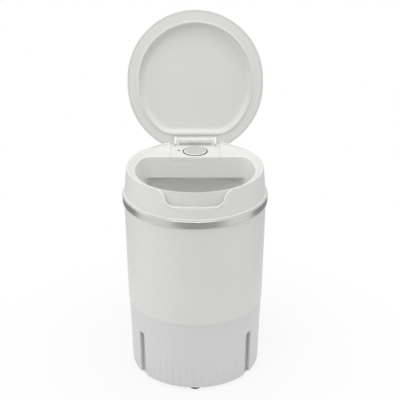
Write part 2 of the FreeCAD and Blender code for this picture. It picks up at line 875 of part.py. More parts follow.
def lid_cover():
    z_top = z_lid + lid_height
    outer = lid_prism(0, z_lid, z_top)
    outer = outer.makeFillet(lid_edge_round, level_edges(outer, z_top)).cut(hinge_notch(0))
    inner = lid_prism(lid_wall, z_lid, z_top - lid_wall)
    inner = inner.makeFillet(lid_edge_round - lid_wall, level_edges(inner, z_top - lid_wall))
    depth = lid_wall + lip_rear_margin
    pads = []
    for place in leaf_screw_places():
        pads.append(bar(screw_head_radius, vec(place.x, notch_face, place.z), back * -1, depth))
    cover = outer.cut(inner.cut(hinge_notch(lid_wall)))
    cover = joined([cover] + pads)
    return cover.cut([screw_hole(place, back * -1, leaf_screw_length) for place in leaf_screw_places()])


def lip_prism(inset, z0, z1):
    prism = d_prism(lip_radius - inset, lip_rear - lip_shift - inset, lip_corner - inset, lip_stretch, z0, z1)
    prism.translate(vec(0, lip_shift))
    return prism


def lid_liner():
    edge = lid_wall + liner_gap
    plate = lid_prism(edge, z_lid, z_lid + liner_wall).cut(hinge_notch(edge))
    lip = lip_prism(0, z_lid - lip_height, z_lid + liner_wall)
    lip = lip.makeFillet(lip_round, level_edges(lip, z_lid - lip_height))
    dish = lip_prism(lip_wall - liner_wall, z_lid, z_lid + dish_depth + liner_wall)
    dish = dish.makeFillet(dish_round + liner_wall, level_edges(dish, z_lid + dish_depth + liner_wall))
    hollow = lip_prism(lip_wall, z_lid - lip_height, z_lid + dish_depth)
    hollow = hollow.makeFillet(dish_round, level_edges(hollow, z_lid + dish_depth))
    return joined([plate, lip, dish]).cut(hollow)


# Control panel on the deck, with its push button, lamp window and board
def post_points():
    x = board_half_width - board_post_inset
    y = board_half_depth - board_post_inset
    return [(sx * x, button_centre + sy * y) for sx in left_right for sy in left_right]


def control_panel():
    rear = deck_front + panel_depth
    half = panel_half_width
    plate = box(-half, half, deck_front, rear, z_deck - panel_thickness, z_deck)
    lip = box(-half, half, deck_front, deck_front + panel_thickness, z_deck - panel_lip, z_deck)
    panel = plate.fuse(lip).removeSplitter()
    edge = [e for e in level_edges(panel, z_deck) if e.BoundBox.YMax < deck_front + 1e-4]
    panel = panel.makeFillet(opening_round, edge)
    z_clip = z_deck - deck_thickness - press
    pieces = [panel]
    for side in left_right:
        face = panel_half_width - panel_ledge - panel_gap
        root = side * (face - panel_clip_wall)
        arm = sorted((root, side * face))
        hook = sorted((root, side * (face + panel_gap + panel_clip_hook)))
        near, far = button_centre - panel_clip_half_width, button_centre + panel_clip_half_width
        pieces.append(box(*arm, near, far, z_clip - panel_clip_wall, z_deck - panel_thickness))
        pieces.append(box(*hook, near, far, z_clip - panel_clip_wall, z_clip))
    z_post = z_board + board_thickness
    pieces += [rod(board_post_radius, z_post, z_deck - panel_thickness, x, y) for x, y in post_points()]
    cuts = [rod(bezel_outer, z_deck - 2 * panel_thickness, z_deck, 0, button_centre)]
    cuts.append(rod(lens_radius + press, z_deck - 2 * panel_thickness, z_deck, -lens_offset, lens_centre))
    cuts += [screw_hole(vec(x, y, z_board), up) for x, y in post_points()]
    return joined(pieces).cut(cuts)


def button_bezel():
    z0, z1 = z_deck - panel_thickness, z_deck + bezel_rise
    return tube(bezel_outer - press, bezel_inner, z0, z1, 0, button_centre)


def power_button():
    z_flange = z_deck - panel_thickness - button_gap
    z_stem = z_board + board_thickness + switch_height + button_travel + button_gap
    cap = rod(button_radius, z_flange - button_flange, z_deck + button_rise, 0, button_centre)
    cap = cap.makeFillet(button_round, level_edges(cap, z_deck + button_rise))
    flange = rod(bezel_outer - button_gap, z_flange - button_flange, z_flange, 0, button_centre)
    stem = rod(button_stem_radius, z_stem, z_flange, 0, button_centre)
    return joined([cap, flange, stem])


def indicator_lens():
    z0 = z_board + board_thickness + lamp_height + button_gap
    return rod(lens_radius, z0, z_deck + lens_rise, -lens_offset, lens_centre)


def control_board():
    z1 = z_board + board_thickness
    front, rear = button_centre - board_half_depth, button_centre + board_half_depth
    board = box(-board_half_width, board_half_width, front, rear, z_board, z1)
    lamp = rod(lamp_radius, z1, z1 + lamp_height, -lens_offset, lens_centre)
    plug = box(-plug_width / 2, plug_width / 2, rear - plug_width, rear, z_board - plug_height, z_board)
    return joined([board, lamp, plug]).cut([screw_hole(vec(x, y, z_board), up) for x, y in post_points()])


def tact_switch():
    z1 = z_board + board_thickness
    half = switch_side / 2
    body = box(-half, half, button_centre - half, button_centre + half, z1, z1 + switch_body_height)
    return joined([body, rod(half / 2, z1, z1 + switch_height, 0, button_centre)])


def board_screws():
    length = min(screw_length, board_drop - panel_thickness)
    return [screw(vec(x, y, z_board), up, length) for x, y in post_points()]


# Wiring: one cable down behind the tub to the driver board, and one from there to the motor
def cable(points):
    """A round cable through the points, straight between them and bent square on an arc at each one."""
    runs = [(b - a).Length for a, b in zip(points, points[1:])]
    shares = [round_limit] + [round_limit / 2] * (len(runs) - 2) + [round_limit]
    room = [run * share for run, share in zip(runs, shares)]
    edges = []
    start = points[0]
    for i in range(1, len(points) - 1):
        before = (points[i - 1] - points[i]).normalize()
        after = (points[i + 1] - points[i]).normalize()
        bend = min(cable_bend, room[i - 1], room[i])
        enter, leave = points[i] + before * bend, points[i] + after * bend
        middle = points[i] + (before + after).normalize() * (bend * (math.sqrt(2) - 1))
        edges.append(Part.LineSegment(start, enter).toShape())
        edges.append(Part.Arc(enter, middle, leave).toShape())
        start = leave
    edges.append(Part.LineSegment(start, points[-1]).toShape())
    ring = Part.Wire([Part.makeCircle(cable_radius, points[0], (points[1] - points[0]).normalize())])
    return Part.Wire(edges).makePipeShell([ring], True, False)


def wire_harness():
    y_start = button_centre + board_half_depth
    down = [vec(0, cable_place, z_cable), vec(0, cable_place, cable_turn_height)]
    return cable([vec(0, y_start, z_cable)] + down +
                 [vec(0, plug_face, cable_turn_height), vec(0, plug_face, z_driver_plug)])


def motor_leads():
    z_low = z_plate + driver_rail_height / 2 + cable_radius
    x_end, y_turn = -gear_distance + motor_lead_offset, motor_lead_offset * 2
    return cable([vec(-motor_lead_start, driver_place, z_low), vec(-motor_lead_start, y_turn, z_low),
                  vec(x_end, y_turn, z_low), vec(x_end, y_turn, z_drive_plate - motor_length)])


# Drive: hub bearings and seal, shaft, gear pair, drive plate and motor
def bearing(z0):
    return tube(bearing_radius - press, shaft_radius + shaft_clearance, z0, z0 + bearing_width)


def shaft_seal():
    return tube(bearing_radius - press, shaft_radius + shaft_clearance, z_hub - shaft_seal_width, z_hub)


def drive_shaft():
    shaft = rod(shaft_radius, z_wheel - 2 * clip_thickness, z_shaft_top)
    return shaft.cut(screw_hole(vec(0, 0, z_shaft_top), up * -1, pulsator_screw_length))


def gear(teeth, bore, z0, start):
    """A spur gear with involute flanks, thinned at the pitch circle by the backlash."""
    pitch = gear_module * teeth / 2
    root, tip = pitch - gear_dedendum * gear_module, pitch + gear_addendum * gear_module
    base = pitch * math.cos(math.radians(gear_pressure_angle))

    def involute(radius):
        angle = math.acos(min(1.0, base / radius))
        return math.tan(angle) - angle

    half = math.pi / (2 * teeth) - gear_backlash / (2 * pitch) + involute(pitch)
    low = max(base, root)
    rise = (tip - low) / gear_flank_steps
    radii = [low + rise * i for i in range(gear_flank_steps + 1)]
    flank = [(root, half)] + [(r, half - involute(r)) for r in radii if r > root]
    corners = []
    for degrees in around(teeth, start):
        middle = math.radians(degrees)
        for radius, turn in flank:
            corners.append((radius * math.cos(middle - turn), radius * math.sin(middle - turn)))
        for radius, turn in reversed(flank):
            corners.append((radius * math.cos(middle + turn), radius * math.sin(middle + turn)))
    body = outline(corners, lambda p: vec(p.x, p.y, z0)).extrude(vec(0, 0, gear_width))
    return body.cut(rod(bore, z0, z0 + gear_width))


def drive_gear():
    return gear(wheel_teeth, shaft_radius + press, z_wheel, 0)


def gear_clip():
    return tube(shaft_radius + clip_width, shaft_radius + press, z_wheel - clip_thickness, z_wheel)


def motor_pinion():
    pinion = gear(pinion_teeth, motor_shaft_radius + press, z_wheel, 180 / pinion_teeth)
    pinion.translate(vec(-gear_distance, 0, 0))
    return pinion


def motor_shaft():
    return rod(motor_shaft_radius, z_drive_plate - motor_shaft_seat, z_wheel + gear_width, -gear_distance, 0)


def motor_screw_places():
    z = z_drive_plate + drive_plate_thickness
    return [vec(-gear_distance, s * motor_screw_circle, z) for s in left_right]


def motor():
    can = rod(motor_radius, z_drive_plate - motor_length, z_drive_plate, -gear_distance, 0)
    boss = rod(motor_boss_radius, z_drive_plate, z_drive_plate + drive_plate_thickness, -gear_distance, 0)
    cuts = [rod(motor_shaft_radius + shaft_clearance, z_drive_plate - motor_shaft_seat - motor_shaft_float,
                z_drive_plate + drive_plate_thickness, -gear_distance, 0)]
    cuts += [screw_hole(place, up * -1) for place in motor_screw_places()]
    return joined([can, boss]).cut(cuts)


def drive_plate():
    z1 = z_drive_plate + drive_plate_thickness
    plate = rod(tub_post_circle + drive_plate_margin, z_drive_plate, z1)
    cuts = [rod(hub_radius, z_drive_plate, z1)]
    cuts.append(rod(motor_boss_radius + press, z_drive_plate, z1, -gear_distance, 0))
    cuts += [screw_hole(vec(x, y, z_drive_plate), up) for x, y in post_places()]
    cuts += [screw_hole(place, up * -1) for place in motor_screw_places()]
    return plate.cut(cuts)


def plate_screws():
    length = drive_plate_thickness + screw_length
    return [screw(vec(x, y, z_drive_plate), up, length - screw_fit) for x, y in post_places()]


def motor_screws():
    return [screw(place, up * -1) for place in motor_screw_places()]


def pulsator():
    z1 = z_pulsator + pulsator_plate
    z_top = z_pulsator + pulsator_dome_height
    disc = turned([
        (0, z_pulsator),
        (pulsator_radius, z_pulsator, pulsator_round),
        (pulsator_radius, z1, pulsator_round),
        (pulsator_dome_radius, z1, pulsator_dome_height / 2),
        (pulsator_cap_radius + pulsator_plate, z_top, pulsator_plate),
        (0, z_top),
    ])
    fins = []
    reach = pulsator_radius - 2 * pulsator_round - pulsator_fin_width / 2
    half = pulsator_fin_width / 2
    z_root, z_fin = z_pulsator + pulsator_round, z1 + pulsator_fin_height
    for degrees in around(pulsator_fin_count, pulsator_fin_start):
        corners = [(0, z_root), (reach, z_root), (reach, z1 + half, half), (pulsator_dome_radius, z_fin),
                   (0, z_fin)]
        face = outline(corners, lambda p: vec(p.x, -half, p.y))
        fin = face.extrude(vec(0, 2 * half, 0))
        tops = [e for e in fin.Edges if e.BoundBox.YLength < 1e-4 and e.BoundBox.ZMin > z1 + half - 1e-4
                and e.BoundBox.XMax > pulsator_dome_radius + half]
        fins.append(spun(fin.makeFillet(min(pulsator_fin_round, round_limit * half), tops), degrees))
    cuts = [rod(shaft_radius + press, z_pulsator, z_shaft_top)]
    cuts.append(rod(screw_radius + screw_fit, z_pulsator, z_top))
    cuts.append(rod(screw_head_radius + press, z_shaft_top + pulsator_plate / 2, z_top))
    cuts.append(rod(pulsator_cap_radius, z_top - pulsator_cap_height, z_top))
    return joined([disc] + fins).cut(cuts)


def pulsator_screw():
    return screw(vec(0, 0, z_shaft_top + pulsator_plate / 2), up * -1, pulsator_screw_length)


def pulsator_cap():
    z_top = z_pulsator + pulsator_dome_height
    cap = rod(pulsator_cap_radius - press, z_top - pulsator_cap_height, z_top)
    return cap.makeFillet(pulsator_cap_height / 4, level_edges(cap, z_top))


save("base_housing", base_housing())
save("vent_guard", *vent_guard())
save("base_plate", base_plate())
save("base_screws", *base_screws())
save("feet", *feet())
save("power_inlet", power_inlet())
save("inlet_nut", inlet_nut())
save("driver_board", driver_board())
save("outer_shell", outer_shell())
save("trim_ring", trim_ring())
save("wash_tub", wash_tub())
save("splash_seal", splash_seal())
save("collar", collar())
save("hinge_bracket", hinge_bracket())
save("bracket_screws", *bracket_screws())
save("hinge_pin", hinge_pin())
save("lid_hinge", opened(lid_hinge()))
save("lid_hinge_screws", *[opened(s) for s in lid_hinge_screws()])
save("lid_cover", opened(lid_cover()))
save("lid_liner", opened(lid_liner()))
save("control_panel", control_panel())
save("button_bezel", button_bezel())
save("power_button", power_button())
save("indicator_lens", indicator_lens())
save("control_board", control_board())
save("tact_switch", tact_switch())
save("board_screws", *board_screws())
save("wire_harness", wire_harness())
save("motor_leads", motor_leads())
save("upper_bearing", bearing(z_hub - shaft_seal_width - bearing_inset - bearing_width))
save("lower_bearing", bearing(z_hub_under + bearing_inset))
save("shaft_seal", shaft_seal())
save("drive_shaft", drive_shaft())
save("drive_gear", drive_gear())
save("gear_clip", gear_clip())
save("motor_pinion", motor_pinion())
save("motor_shaft", motor_shaft())
save("motor", motor())
save("motor_screws", *motor_screws())
save("drive_plate", drive_plate())
save("plate_screws", *plate_screws())
save("pulsator", pulsator())
save("pulsator_screw", pulsator_screw())
save("pulsator_cap", pulsator_cap())
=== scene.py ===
import math

import bmesh
import bpy
from mathutils import Matrix, Vector


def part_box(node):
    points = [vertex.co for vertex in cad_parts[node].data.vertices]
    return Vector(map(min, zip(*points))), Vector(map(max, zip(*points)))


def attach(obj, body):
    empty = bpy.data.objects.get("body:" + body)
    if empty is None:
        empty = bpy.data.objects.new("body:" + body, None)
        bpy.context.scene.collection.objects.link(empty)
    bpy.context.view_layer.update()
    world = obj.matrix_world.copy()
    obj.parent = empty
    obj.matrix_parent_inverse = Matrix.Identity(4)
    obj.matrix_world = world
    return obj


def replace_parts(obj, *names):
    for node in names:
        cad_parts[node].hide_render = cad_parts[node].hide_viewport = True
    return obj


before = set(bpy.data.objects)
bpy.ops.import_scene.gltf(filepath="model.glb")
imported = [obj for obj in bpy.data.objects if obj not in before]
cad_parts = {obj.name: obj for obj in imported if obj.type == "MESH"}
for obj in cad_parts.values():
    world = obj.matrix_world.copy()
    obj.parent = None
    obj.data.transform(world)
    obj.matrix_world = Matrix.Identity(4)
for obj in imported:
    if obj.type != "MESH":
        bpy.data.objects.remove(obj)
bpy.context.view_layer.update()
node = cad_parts


# Base housing: the tapered skirt the machine stands on, injection moulded in a satin white plastic.
# It has upright slots for air and a band of shallow flutes, and its spigot carries the shell.
# Trays, moulded apart, close the slots from within; their grey is painted shade for the shaded inside of the
# slots.
class Shade:
    """A socket in a finish; arithmetic on it adds Math nodes, and add() adds any other node."""

    def __init__(self, tree, socket=None):
        self.tree = tree
        self.socket = socket

    def add(self, kind, settings, inputs, output=0):
        made = self.tree.nodes.new(kind)
        for name, value in settings.items():
            setattr(made, name, value)
        for name, value in inputs.items():
            if isinstance(value, Shade):
                self.tree.links.new(value.socket, made.inputs[name])
            else:
                made.inputs[name].default_value = value
        return Shade(self.tree, made.outputs[output] if len(made.outputs) else None)

    def math(self, operation, *terms):
        return self.add("ShaderNodeMath", {"operation": operation}, dict(enumerate(terms)))

    def __add__(self, other):
        return self.math("ADD", self, other)

    def __radd__(self, other):
        return self.math("ADD", other, self)

    def __sub__(self, other):
        return self.math("SUBTRACT", self, other)

    def __rsub__(self, other):
        return self.math("SUBTRACT", other, self)

    def __mul__(self, other):
        return self.math("MULTIPLY", self, other)

    def __rmul__(self, other):
        return self.math("MULTIPLY", other, self)


def new_finish(name):
    """An empty finish, as its material and a first Shade to add nodes with."""
    material = bpy.data.materials.new(name)
    material.use_nodes = True
    material.node_tree.nodes.clear()
    return material, Shade(material.node_tree)


def close_finish(material, shade, **inputs):
    """Ends a finish with a Principled shader and the material's output."""
    named = {key.replace("_", " "): value for key, value in inputs.items()}
    surface = shade.add("ShaderNodeBsdfPrincipled", {}, named)
    shade.add("ShaderNodeOutputMaterial", {}, {"Surface": surface})
    return material


def noise(shade, scale, detail=3.0, stretch=(1.0, 1.0, 1.0)):
    """Soft noise in the part's own metres; a stretch draws it out along an axis."""
    place = shade.add("ShaderNodeTexCoord", {}, {}, "Object")
    place = shade.add("ShaderNodeMapping", {}, {"Vector": place, "Scale": stretch})
    return shade.add("ShaderNodeTexNoise", {}, {"Vector": place, "Scale": scale, "Detail": detail})


mix_share, mix_first, mix_second, mix_colour = 0, 6, 7, 2


def tint(shade, share, first, second):
    """A colour between two, by a share from 0 to 1; either may itself change over the surface."""
    ends = [end if isinstance(end, Shade) else (*end, 1.0) for end in (first, second)]
    return shade.add("ShaderNodeMix", {"data_type": "RGBA"},
                     {mix_share: share, mix_first: ends[0], mix_second: ends[1]}, mix_colour)


tone_scale, tone_drift = 9.0, 0.03
rub_scale, rub_spread = 38.0, 0.14
spark_scale, spark_depth = 2600.0, 0.000012
plastic_gleam = 0.4


def drifting(shade, colour):
    """A colour that drifts slowly between a little darker and a little paler."""
    dark = tuple(c * (1 - tone_drift) for c in colour)
    pale = tuple(min(1.0, c * (1 + tone_drift)) for c in colour)
    return tint(shade, noise(shade, tone_scale), dark, pale)


def rubbed(shade, rough, scale=rub_scale, spread=rub_spread):
    """A roughness with patches that are rubbed smoother."""
    return noise(shade, scale) * spread + (rough - spread / 2)


def bumped(shade, height, depth):
    """A normal that follows a height, to a depth in metres."""
    return shade.add("ShaderNodeBump", {}, {"Height": height, "Distance": depth, "Strength": 1.0})


def moulded(name, colour, rough, grain=spark_scale, depth=spark_depth):
    """Moulded plastic: a fine spark-eroded grain, a slow drift in tone and patches rubbed smoother."""
    material, shade = new_finish(name)
    fine = noise(shade, grain, detail=1.0)
    return close_finish(material, shade, Base_Color=drifting(shade, colour), Roughness=rubbed(shade, rough),
                        Normal=bumped(shade, fine, depth), Specular_IOR_Level=plastic_gleam)


def dress(material, *names):
    """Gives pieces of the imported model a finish."""
    for name in names:
        node[name].material_slots[0].material = material


dress(moulded("base_satin_white", (0.77, 0.77, 0.765), rough=0.46), "base_housing")
# painted shade: the trays' grey stands for the shade inside the slots.
dress(moulded("guard_painted_shade_grey", (0.72, 0.72, 0.71), rough=0.6), "vent_guard")

# Base plate: the plain floor of the base, screwed on from below, with the rails of the driver board.
# It is a pale grey moulding, and from the front only its edge shows, at the foot of the slots.
dress(moulded("plate_grey_plastic", (0.78, 0.78, 0.77), rough=0.55), "base_plate")

# Feet: four round rubber pads pressed into the base plate by their studs.
# The rubber is dark grey, dull and a little dusty.
dust_scale, dust_spread = 120.0, 0.2
dust_cover, dust_tone = 0.25, 0.2
rubber_scale, rubber_depth = 3200.0, 0.00003
rubber_gleam = 0.3


def rubber(name, colour, rough):
    """Matt rubber with a fine grain and a thin, uneven cover of dust."""
    material, shade = new_finish(name)
    dust = noise(shade, dust_scale, detail=6.0)
    grain = noise(shade, rubber_scale, detail=2.0)
    dusty = tuple(c * (1 - dust_cover) + dust_cover * dust_tone for c in colour)
    return close_finish(material, shade, Base_Color=tint(shade, dust, colour, dusty),
                        Roughness=dust * dust_spread + (rough - dust_spread / 2),
                        Normal=bumped(shade, grain, rubber_depth), Specular_IOR_Level=rubber_gleam)


dress(rubber("foot_grey_rubber", (0.17, 0.17, 0.17), rough=0.75), "feet")

# Screws: slotted pan-head steel screws, zinc plated, in every place that is fastened.
# Head and shank are turned from one bar, the slot is sawn across the head and the tip is pointed.
cloud_scale = 60.0
streak_spread, cloud_spread = 0.12, 0.08


def metal(name, colour, rough, lines, stretch, contrast=0.12, depth=0.000006):
    """Bare or plated metal with fine tool lines, drawn out by a stretch, and a cloudy gloss."""
    material, shade = new_finish(name)
    streak = noise(shade, lines, detail=2.0, stretch=stretch)
    cloud = noise(shade, cloud_scale)
    smoothest = rough - (streak_spread + cloud_spread) / 2
    dark = tuple(c * (1 - contrast) for c in colour)
    pale = tuple(min(1.0, c * (1 + contrast)) for c in colour)
    return close_finish(material, shade, Base_Color=tint(shade, streak, dark, pale), Metallic=1.0,
                        Roughness=streak * streak_spread + cloud * cloud_spread + smoothest,
                        Normal=bumped(shade, streak, depth))


crease = math.radians(35)
join_reach = 0.000001


def place_mesh(name, form, material, body):
    """Closes a mesh as a piece of the machine: its finish and its body."""
    bmesh.ops.recalc_face_normals(form, faces=form.faces)
    mesh = bpy.data.meshes.new(name)
    form.to_mesh(mesh)
    form.free()
    mesh.shade_smooth()
    mesh.set_sharp_from_angle(angle=crease)
    mesh.materials.append(material)
    made = bpy.data.objects.new(name, mesh)
    bpy.context.scene.collection.objects.link(made)
    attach(made, body)
    return made


def loose_parts(mesh):
    """The corners of each separate solid in a mesh."""
    form = bmesh.new()
    form.from_mesh(mesh)
    bmesh.ops.remove_doubles(form, verts=form.verts, dist=join_reach)
    parts, met = [], set()
    for first in form.verts:
        if first in met:
            continue
        part, met = [first], met | {first}
        for vert in part:
            near = [edge.other_vert(vert) for edge in vert.link_edges]
            fresh = [other for other in near if other not in met]
            part += fresh
            met |= set(fresh)
        parts.append([vert.co.copy() for vert in part])
    form.free()
    return parts


def with_borders(faces):
    """Faces with their edges and corners, as the operators that cut or push a whole region need them."""
    parts = set(faces)
    for face in faces:
        parts |= set(face.edges) | set(face.verts)
    return list(parts)


def pushed(form, faces, shift, scale=1.0):
    """Pushes faces out by a shift, drawing them in about the screw's axis, and gives the moved faces."""
    made = bmesh.ops.extrude_face_region(form, geom=with_borders(faces))["geom"]
    verts = [item for item in made if isinstance(item, bmesh.types.BMVert)]
    bmesh.ops.scale(form, vec=(scale, scale, 1.0), verts=verts)
    bmesh.ops.translate(form, vec=(0.0, 0.0, shift), verts=verts)
    return [item for item in made if isinstance(item, bmesh.types.BMFace)]


level_normal = 0.9


def level_faces(form, height):
    """The faces that lie level at a height."""
    form.normal_update()
    level = [face for face in form.faces if abs(face.normal.z) > level_normal]
    return [face for face in level if abs(face.calc_center_median().z - height) < join_reach]


slot_half, slot_depth = 0.00045, 0.0009
screw_point, point_share = 0.0015, 0.4
screw_sides = 32


def slotted_screw(head, height, shank, length):
    """One screw about the Z axis, with the seat of its head at zero and its shank below."""
    form = bmesh.new()
    low = height - slot_depth
    bmesh.ops.create_cone(form, cap_ends=True, segments=screw_sides, radius1=head, radius2=head, depth=low,
                          matrix=Matrix.Translation((0.0, 0.0, low / 2)))
    seat = level_faces(form, 0.0)
    bmesh.ops.inset_individual(form, faces=seat, thickness=head - shank)
    tip = pushed(form, seat, screw_point - length)
    pushed(form, tip, -screw_point, point_share)
    for side in (-slot_half, slot_half):
        top = with_borders(level_faces(form, low))
        bmesh.ops.bisect_plane(form, geom=top, plane_co=(side, 0.0, 0.0), plane_no=(1.0, 0.0, 0.0))
    halves = [face for face in level_faces(form, low) if abs(face.calc_center_median().x) > slot_half]
    pushed(form, halves, slot_depth)
    return form


zinc = metal("zinc_plated_steel", (0.58, 0.59, 0.60), rough=0.34, lines=700.0, stretch=(1.0, 1.0, 0.4))
slot_turn = 2.4
head_share = 0.8
upright = (0.0, 0.0, 1.0)
lid_open = math.radians(107)
lid_axis = (0.0, -math.cos(lid_open), math.sin(lid_open))
screw_groups = [("base_screws", "cabinet", upright), ("plate_screws", "cabinet", upright),
                ("motor_screws", "cabinet", upright), ("board_screws", "cabinet", upright),
                ("bracket_screws", "cabinet", upright), ("pulsator_screw", "agitator", upright),
                ("lid_hinge_screws", "lid", lid_axis)]
for name, body, axis in screw_groups:
    axis = Vector(axis)
    group = bmesh.new()
    for i, corners in enumerate(loose_parts(node[name].data)):
        middle = sum(corners, Vector()) / len(corners)
        levels = [axis.dot(corner - middle) for corner in corners]
        spread = [(corner - middle - axis * level).length for corner, level in zip(corners, levels)]
        head = [level for level, wide in zip(levels, spread) if wide > head_share * max(spread)]
        shank = [wide for wide in spread if wide < head_share * max(spread)]
        head_up = sum(head) > 0
        out = axis if head_up else -axis
        seat = min(head) if head_up else max(head)
        tip = min(levels) if head_up else max(levels)
        form = slotted_screw(max(spread), max(head) - min(head), max(shank), abs(seat - tip))
        turn = out.to_track_quat("Z", "Y").to_matrix().to_4x4() @ Matrix.Rotation(i * slot_turn, 4, "Z")
        bmesh.ops.transform(form, matrix=Matrix.Translation(middle + axis * seat) @ turn, verts=form.verts)
        one = bpy.data.meshes.new("one_screw")
        form.to_mesh(one)
        form.free()
        group.from_mesh(one)
        bpy.data.meshes.remove(one)
    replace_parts(place_mesh(name + "_slotted", group, zinc, body), name)

# Supply socket: a black moulded jack with a centre pin, held in the back of the base by a round nut.
# The driver board behind it stands in rails on the base plate and carries the jack's tail.
dress(moulded("socket_black_plastic", (0.035, 0.035, 0.035), rough=0.45), "power_inlet")
dress(zinc, "inlet_nut")
board_mask = ((0.012, 0.075, 0.035), (0.02, 0.11, 0.05))
track_green, track_depth = (0.035, 0.17, 0.07), 0.00003
board_cloud, board_rough, board_spread = 70.0, 0.3, 0.1


def board_finish(name):
    """Green solder mask over copper tracks that run on a grid."""
    material, shade = new_finish(name)
    place = shade.add("ShaderNodeTexCoord", {}, {}, "Object")
    tracks = shade.add("ShaderNodeTexBrick", {"offset": 0.5},
                       {"Vector": place, "Scale": 90.0, "Mortar Size": 0.035, "Mortar Smooth": 0.2}, "Fac")
    cloud = noise(shade, board_cloud)
    colour = tint(shade, tracks, tint(shade, cloud, *board_mask), track_green)
    return close_finish(material, shade, Base_Color=colour, Roughness=cloud * board_spread + board_rough,
                        Normal=bumped(shade, tracks, track_depth))


dress(board_finish("board_green_mask"), "driver_board", "control_board")

# Outer shell: the smooth tapered body, one satin white moulding that drops over the spigot of the base.
# The trim ring around its top is a rolled band of brushed, bright-plated metal.
dress(moulded("shell_satin_white", (0.82, 0.82, 0.80), rough=0.42), "outer_shell")
dress(metal("trim_brushed_silver", (0.60, 0.60, 0.59), rough=0.3, lines=30.0, stretch=(1.0, 1.0, 90.0),
            contrast=0.06, depth=0.000002), "trim_ring")

# Wash tub: a glossy pale moulding hung by its flange on the shell, with the hub of the drive in its floor.
# A rubber ring seals the gap between the tub and the skirt of the collar.
gloss_scale, gloss_depth = 900.0, 0.000006
dress(moulded("tub_gloss_white", (0.95, 0.95, 0.94), rough=0.3, grain=gloss_scale, depth=gloss_depth),
      "wash_tub")
dress(rubber("seal_black_rubber", (0.03, 0.03, 0.03), rough=0.6), "splash_seal", "shaft_seal")

# Drive: two ball bearings and a seal in the hub, a steel shaft, and a nylon wheel turned by a brass pinion.
# The motor is a painted can under a zinc-plated plate that is screwed to three posts of the tub.
ground_steel = metal("ground_bearing_steel", (0.66, 0.66, 0.67), rough=0.22, lines=260.0,
                     stretch=(1.0, 1.0, 6.0))
dress(ground_steel, "upper_bearing", "lower_bearing", "drive_shaft", "motor_shaft", "gear_clip")
dress(moulded("wheel_natural_nylon", (0.78, 0.75, 0.66), rough=0.5), "drive_gear")
dress(metal("pinion_machined_brass", (0.70, 0.53, 0.24), rough=0.28, lines=300.0, stretch=(1.0, 1.0, 5.0)),
      "motor_pinion")
dress(metal("plate_zinc_sheet", (0.55, 0.56, 0.57), rough=0.42, lines=24.0, stretch=(1.0, 14.0, 1.0)),
      "drive_plate")
dress(moulded("motor_grey_enamel", (0.20, 0.21, 0.22), rough=0.4, grain=700.0, depth=0.00002), "motor")

# Pulsator: the finned disc on the floor of the tub that swirls the water, in glossy white plastic.
# A screw under the round cap in its middle holds it on the shaft.
dress(moulded("pulsator_gloss_white", (0.95, 0.95, 0.94), rough=0.28, grain=gloss_scale, depth=gloss_depth),
      "pulsator", "pulsator_cap")


# Collar: the moulding around the opening, with a finger recess in front and a deck behind.
# It snaps into the top of the shell over the trim ring; it is satin white outside, and the walls of the
# opening are polished and painted whiter, as painted light for the light that the tub throws back on them.
def measured(shade, axis):
    """The place on the surface along an axis of the part, in metres."""
    place = shade.add("ShaderNodeTexCoord", {}, {}, "Object")
    return shade.add("ShaderNodeVectorMath", {"operation": "DOT_PRODUCT"}, {0: place, 1: axis}, "Value")


def from_axis(shade, middle):
    """How far the surface lies from an upright axis, in metres."""
    place = shade.add("ShaderNodeTexCoord", {}, {}, "Object")
    place = shade.add("ShaderNodeVectorMath", {"operation": "SUBTRACT"}, {0: place, 1: (*middle, 0.0)})
    place = shade.add("ShaderNodeVectorMath", {"operation": "MULTIPLY"}, {0: place, 1: (1.0, 1.0, 0.0)})
    return shade.add("ShaderNodeVectorMath", {"operation": "LENGTH"}, {0: place}, "Value")


def eased(shade, value, span, ends=(0.0, 1.0)):
    """A number that goes evenly from one end to the other while a value crosses a span."""
    return shade.add("ShaderNodeMapRange", {}, {"Value": value, "From Min": span[0], "From Max": span[1],
                                                "To Min": ends[0], "To Max": ends[1]})


polish_and_light_reach, polish_and_light_back = 0.0945, 0.0512
polish_and_light_top = (0.3412, 0.3428)
# painted light: the walls of the opening are painted whiter than the satin outside, for the light thrown
# back inside the tub.
painted_light_white, polish_rough = (0.97, 0.97, 0.96), 0.3
backward = (0.0, 1.0, 0.0)


def polished_with_painted_light(name, outside, rough):
    """Satin outside, and polished on the walls of the opening below and before the deck, which are painted
    whiter as painted light.
    """
    material, shade = new_finish(name)
    low = eased(shade, measured(shade, upright), polish_and_light_top, ends=(1.0, 0.0))
    near = shade.math("LESS_THAN", from_axis(shade, (0.0, 0.0)), polish_and_light_reach)
    before = shade.math("LESS_THAN", measured(shade, backward), polish_and_light_back)
    polish_and_painted_light = low * near * before
    fine = noise(shade, spark_scale, detail=1.0)
    return close_finish(material, shade,
                        Base_Color=tint(shade, polish_and_painted_light, drifting(shade, outside), painted_light_white),
                        Roughness=rubbed(shade, rough) - polish_and_painted_light * (rough - polish_rough),
                        Normal=bumped(shade, fine, spark_depth), Specular_IOR_Level=plastic_gleam)


dress(polished_with_painted_light("collar_satin_white", (0.83, 0.83, 0.81), rough=0.44), "collar")


